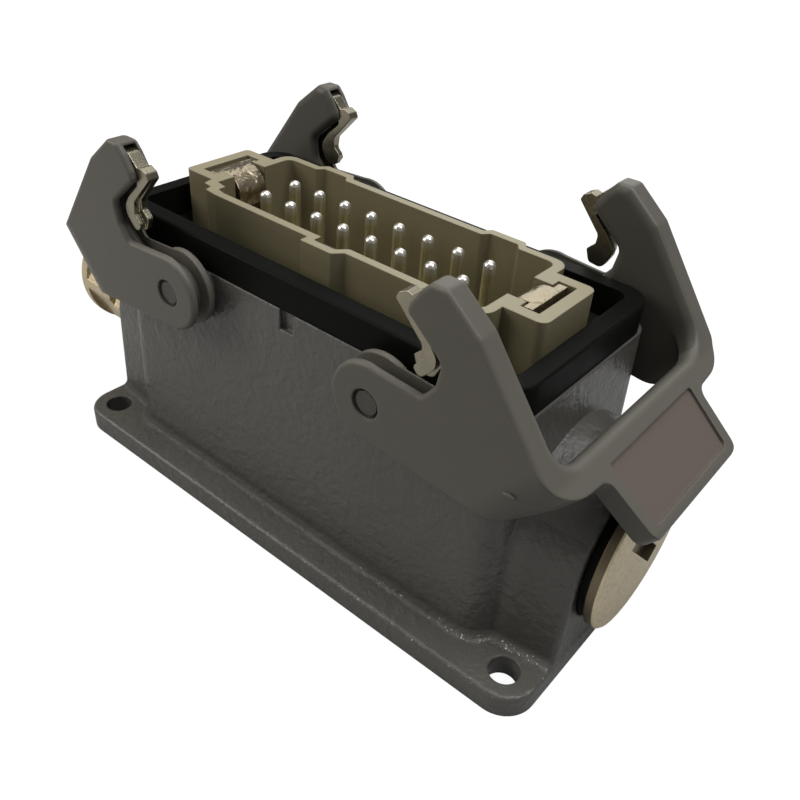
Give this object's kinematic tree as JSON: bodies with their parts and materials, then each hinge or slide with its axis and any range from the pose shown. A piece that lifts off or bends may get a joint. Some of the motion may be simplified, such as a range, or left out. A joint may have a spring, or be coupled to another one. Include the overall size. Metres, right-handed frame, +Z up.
{
  "type": "heavy duty rectangular connector housing",
  "caption": "Surface-mounted rectangular industrial connector: cast housing with two locking levers, pin insert, rim gasket, cable gland and blanking plug.",
  "frame": {"origin": "centre of the underside of the mounting flange", "axes": "+X along the length towards the blanking plug, +Y across the housing, +Z up out of the pins"},
  "size_m": [0.1461, 0.057, 0.0702],
  "materials": {
    "painted_casting": "dark grey textured powder coat",
    "seal_rubber": "smooth black",
    "insert_plastic": "light pebble grey, satin",
    "contact_silver": "bright silver plate",
    "plated_steel": "zinc plated",
    "pin_steel": "dark satin",
    "strip_steel": "stamped, satin",
    "nickel_fitting": "nickel plated, slightly speckled",
    "lever_plastic": "warm grey, fine satin"
  },
  "bodies": {
    "housing": {"housing_shell": "painted_casting", "rim_gasket": "seal_rubber", "insert_body": "insert_plastic", "contact_pin_01": "contact_silver", "contact_pin_02": "contact_silver", "contact_pin_03": "contact_silver", "contact_pin_04": "contact_silver", "contact_pin_05": "contact_silver", "contact_pin_06": "contact_silver", "contact_pin_07": "contact_silver", "contact_pin_08": "contact_silver", "contact_pin_09": "contact_silver", "contact_pin_10": "contact_silver", "contact_pin_11": "contact_silver", "contact_pin_12": "contact_silver", "contact_pin_13": "contact_silver", "contact_pin_14": "contact_silver", "contact_pin_15": "contact_silver", "contact_pin_16": "contact_silver", "terminal_screws": "plated_steel", "earth_strip_right": "strip_steel", "earth_strip_left": "strip_steel", "earth_screws": "plated_steel", "fixing_screws": "plated_steel", "blanking_plug": "nickel_fitting", "plug_seal": "seal_rubber", "gland_seal": "seal_rubber", "gland_body": "nickel_fitting", "gland_nut": "nickel_fitting", "gland_grommet": "seal_rubber", "hinge_pins": "pin_steel"},
    "right_lever": {"lever_right": "lever_plastic", "spring_right_back": "strip_steel", "spring_right_front": "strip_steel"},
    "left_lever": {"lever_left": "lever_plastic", "spring_left_back": "strip_steel", "spring_left_front": "strip_steel"}
  },
  "joints": [
    {"name": "right_lever_hinge", "type": "hinge", "parent": "housing", "child": "right_lever", "pos_m": [0.0233, 0, 0.046], "axis": [0, -1, 0], "range_deg": [0, 30]},
    {"name": "left_lever_hinge", "type": "hinge", "parent": "housing", "child": "left_lever", "pos_m": [-0.0233, 0, 0.046], "axis": [0, 1, 0], "range_deg": [0, 30]}
  ]
}
